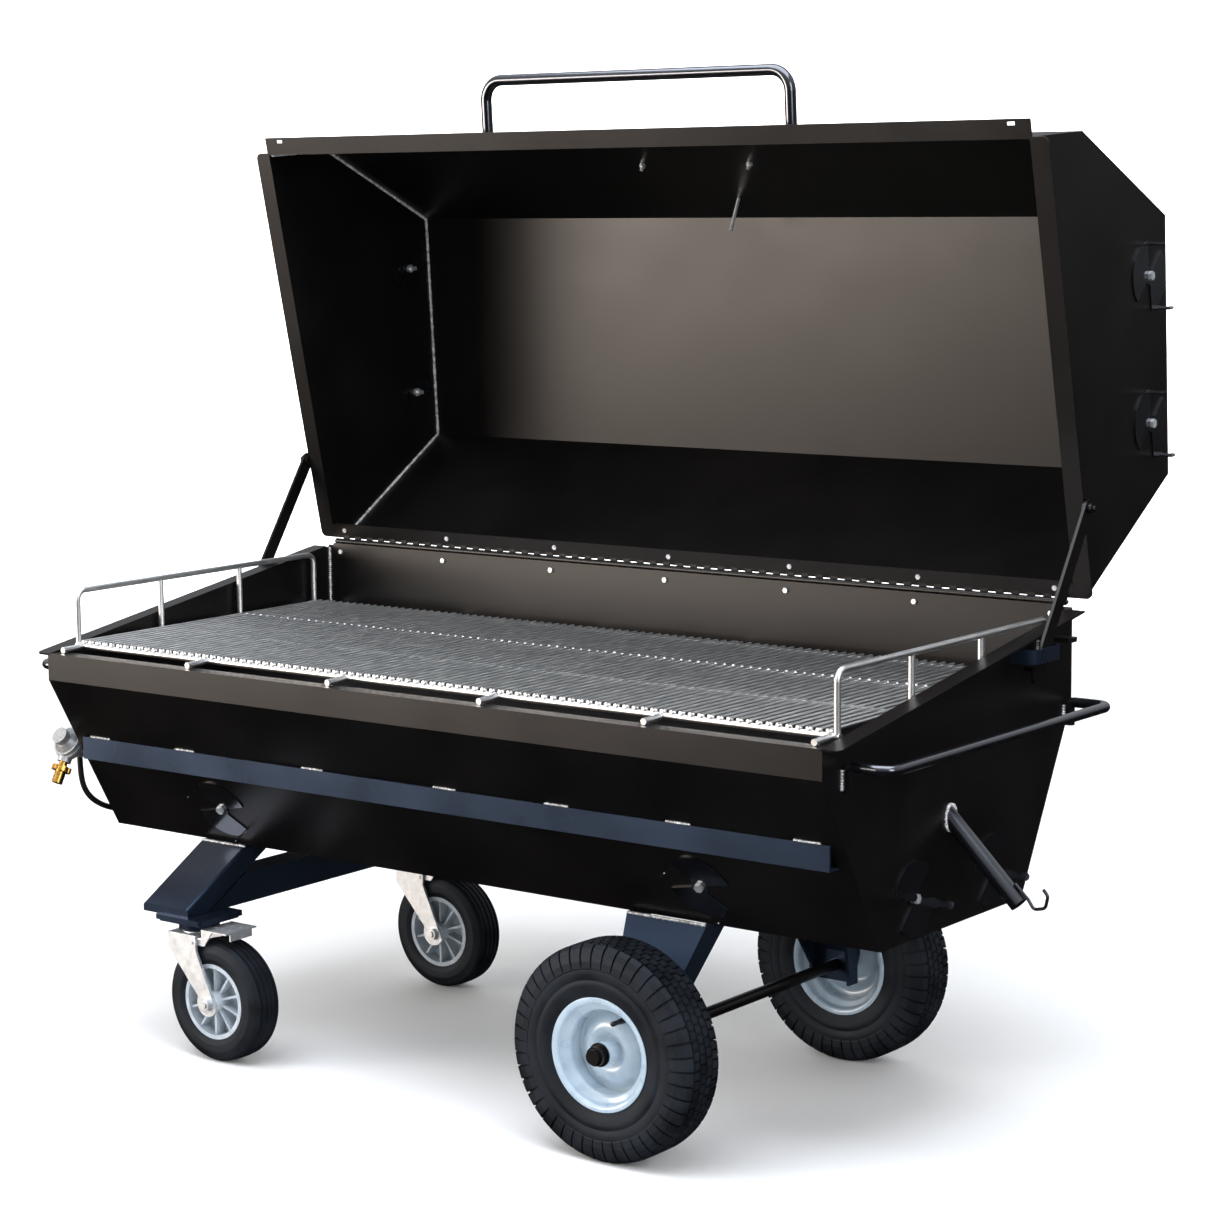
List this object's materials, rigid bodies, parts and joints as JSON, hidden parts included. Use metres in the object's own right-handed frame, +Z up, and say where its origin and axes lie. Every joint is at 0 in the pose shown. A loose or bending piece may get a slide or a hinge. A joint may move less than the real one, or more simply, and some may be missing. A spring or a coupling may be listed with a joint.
{
  "type": "trough barbecue cart",
  "caption": "Long folded-steel trough barbecue with an openable hood, rod grate, butterfly vents and gas hose, on pneumatic wheels and braked casters.",
  "frame": {"origin": "middle of the footprint of everything but the gas hose and regulator, on the ground", "axes": "+X along the trough to the drain end, -Y the cook's side, hood hinged along +Y, +Z up, hood open"},
  "size_m": [1.7874, 1.0814, 1.6121],
  "materials": {
    "powder_coat": "satin black powder coat",
    "stainless": "drawn stainless rod",
    "zinc": "bright zinc plate",
    "wheel_rubber": "moulded rubber",
    "rim_paint": "light grey paint",
    "hub_plastic": "moulded grey",
    "brass_fitting": "machined brass",
    "cast_zinc": "die-cast",
    "hose_rubber": "smooth black"
  },
  "bodies": {
    "trough": {"trough_wrap": "powder_coat", "trough_end_left": "powder_coat", "trough_end_right": "powder_coat", "front_rail": "powder_coat", "grate_ledge": "powder_coat", "end_handles": "powder_coat", "stay_guides": "powder_coat", "rear_lugs": "powder_coat", "drip_pan": "powder_coat", "drain_tube": "powder_coat", "burner": "powder_coat", "inner_brackets": "powder_coat", "gas_inlet": "zinc", "gas_hose": "hose_rubber", "regulator_body": "cast_zinc", "regulator_nut": "brass_fitting", "regulator_clip": "zinc", "hinge_lower_leaf": "powder_coat", "hinge_pin": "zinc", "trough_bolts": "zinc", "caster_legs": "powder_coat", "cross_tube": "powder_coat", "caster_plates": "powder_coat", "axle_legs": "powder_coat", "axle": "zinc", "axle_nuts": "powder_coat"},
    "hood": {"hood_wrap": "powder_coat", "hood_end_left": "powder_coat", "hood_end_right": "powder_coat", "hood_handle": "powder_coat", "thermometer": "zinc", "badge_plate": "powder_coat", "hinge_upper_leaf": "powder_coat", "stay_pivots": "powder_coat", "hood_bolts": "zinc"},
    "grate": {"grate_rods": "stainless", "grate_frame": "stainless"},
    "stay_left": {"hood_stay_left": "powder_coat"},
    "stay_right": {"hood_stay_right": "powder_coat"},
    "front_vent_left_plate": {"front_vent_left": "powder_coat"},
    "front_vent_right_plate": {"front_vent_right": "powder_coat"},
    "end_vent_front_plate": {"end_vent_front": "powder_coat"},
    "end_vent_rear_plate": {"end_vent_rear": "powder_coat"},
    "hood_vent_left_upper_plate": {"hood_vent_left_upper": "powder_coat"},
    "hood_vent_left_lower_plate": {"hood_vent_left_lower": "powder_coat"},
    "hood_vent_right_upper_plate": {"hood_vent_right_upper": "powder_coat"},
    "hood_vent_right_lower_plate": {"hood_vent_right_lower": "powder_coat"},
    "wheel_front": {"wheel_tyre_front": "wheel_rubber", "wheel_rim_front": "rim_paint"},
    "caster_front": {"caster_fork_front": "zinc"},
    "caster_wheel_front": {"caster_tyre_front": "wheel_rubber", "caster_hub_front": "hub_plastic"},
    "pedal_front": {"brake_pedal_front": "zinc"},
    "wheel_rear": {"wheel_tyre_rear": "wheel_rubber", "wheel_rim_rear": "rim_paint"},
    "caster_rear": {"caster_fork_rear": "zinc"},
    "caster_wheel_rear": {"caster_tyre_rear": "wheel_rubber", "caster_hub_rear": "hub_plastic"},
    "pedal_rear": {"brake_pedal_rear": "zinc"}
  },
  "joints": [
    {"name": "hood_hinge", "type": "hinge", "parent": "trough", "child": "hood", "pos_m": [-0.03887, 0.22527, 0.7735], "axis": [1, 0, 0], "range_deg": [0, 86.5]},
    {"name": "grate_lift", "type": "slide", "parent": "trough", "child": "grate", "axis": [0, 0, 1], "range_m": [0, 0.1]},
    {"name": "stay_swing_left", "type": "hinge", "parent": "hood", "child": "stay_left", "pos_m": [-0.84287, 0.20177, 0.925], "axis": [1, 0, 0], "range_deg": [-53.61, 0]},
    {"name": "stay_swing_right", "type": "hinge", "parent": "hood", "child": "stay_right", "pos_m": [0.76513, 0.20177, 0.925], "axis": [1, 0, 0], "range_deg": [-53.61, 0]},
    {"name": "front_vent_left_turn", "type": "hinge", "parent": "trough", "child": "front_vent_left_plate", "pos_m": [-0.52387, -0.38022, 0.402], "axis": [0, -0.8723, -0.4889], "range_deg": [0, 60]},
    {"name": "front_vent_right_turn", "type": "hinge", "parent": "trough", "child": "front_vent_right_plate", "pos_m": [0.44613, -0.38022, 0.402], "axis": [0, -0.8723, -0.4889], "range_deg": [0, 60]},
    {"name": "end_vent_front_turn", "type": "hinge", "parent": "trough", "child": "end_vent_front_plate", "pos_m": [0.73113, -0.25023, 0.397], "axis": [1, 0, 0], "range_deg": [0, 60]},
    {"name": "end_vent_rear_turn", "type": "hinge", "parent": "trough", "child": "end_vent_rear_plate", "pos_m": [0.73113, -0.02623, 0.397], "axis": [1, 0, 0], "range_deg": [0, 60]},
    {"name": "hood_vent_left_upper_turn", "type": "hinge", "parent": "hood", "child": "hood_vent_left_upper_plate", "pos_m": [-0.80887, 0.45888, 1.27019], "axis": [-1, 0, 0], "range_deg": [0, 60]},
    {"name": "hood_vent_left_lower_turn", "type": "hinge", "parent": "hood", "child": "hood_vent_left_lower_plate", "pos_m": [-0.80887, 0.47329, 1.03463], "axis": [-1, 0, 0], "range_deg": [0, 60]},
    {"name": "hood_vent_right_upper_turn", "type": "hinge", "parent": "hood", "child": "hood_vent_right_upper_plate", "pos_m": [0.73113, 0.45888, 1.27019], "axis": [1, 0, 0], "range_deg": [0, 60]},
    {"name": "hood_vent_right_lower_turn", "type": "hinge", "parent": "hood", "child": "hood_vent_right_lower_plate", "pos_m": [0.73113, 0.47329, 1.03463], "axis": [1, 0, 0], "range_deg": [0, 60]},
    {"name": "wheel_spin_front", "type": "hinge", "parent": "trough", "child": "wheel_front", "pos_m": [0.36413, -0.48423, 0.165], "axis": [0, 1, 0], "continuous": true},
    {"name": "caster_swivel_front", "type": "hinge", "parent": "trough", "child": "caster_front", "pos_m": [-0.51687, -0.44823, 0.232], "axis": [0, 0, 1], "continuous": true},
    {"name": "caster_spin_front", "type": "hinge", "parent": "caster_front", "child": "caster_wheel_front", "pos_m": [-0.46287, -0.44823, 0.1016], "axis": [0, 1, 0], "continuous": true},
    {"name": "pedal_press_front", "type": "hinge", "parent": "caster_front", "child": "pedal_front", "pos_m": [-0.49387, -0.44823, 0.2], "axis": [0, 1, 0], "range_deg": [0, 8]},
    {"name": "wheel_spin_rear", "type": "hinge", "parent": "trough", "child": "wheel_rear", "pos_m": [0.36413, 0.16777, 0.165], "axis": [0, 1, 0], "continuous": true},
    {"name": "caster_swivel_rear", "type": "hinge", "parent": "trough", "child": "caster_rear", "pos_m": [-0.51687, 0.13177, 0.232], "axis": [0, 0, 1], "continuous": true},
    {"name": "caster_spin_rear", "type": "hinge", "parent": "caster_rear", "child": "caster_wheel_rear", "pos_m": [-0.46287, 0.13177, 0.1016], "axis": [0, 1, 0], "continuous": true},
    {"name": "pedal_press_rear", "type": "hinge", "parent": "caster_rear", "child": "pedal_rear", "pos_m": [-0.49387, 0.13177, 0.2], "axis": [0, 1, 0], "range_deg": [0, 8]}
  ],
  "couplings": [
    {"joint": "stay_swing_left", "follows": "hood_hinge", "ratio": -0.614},
    {"joint": "stay_swing_right", "follows": "hood_hinge", "ratio": -0.614}
  ]
}
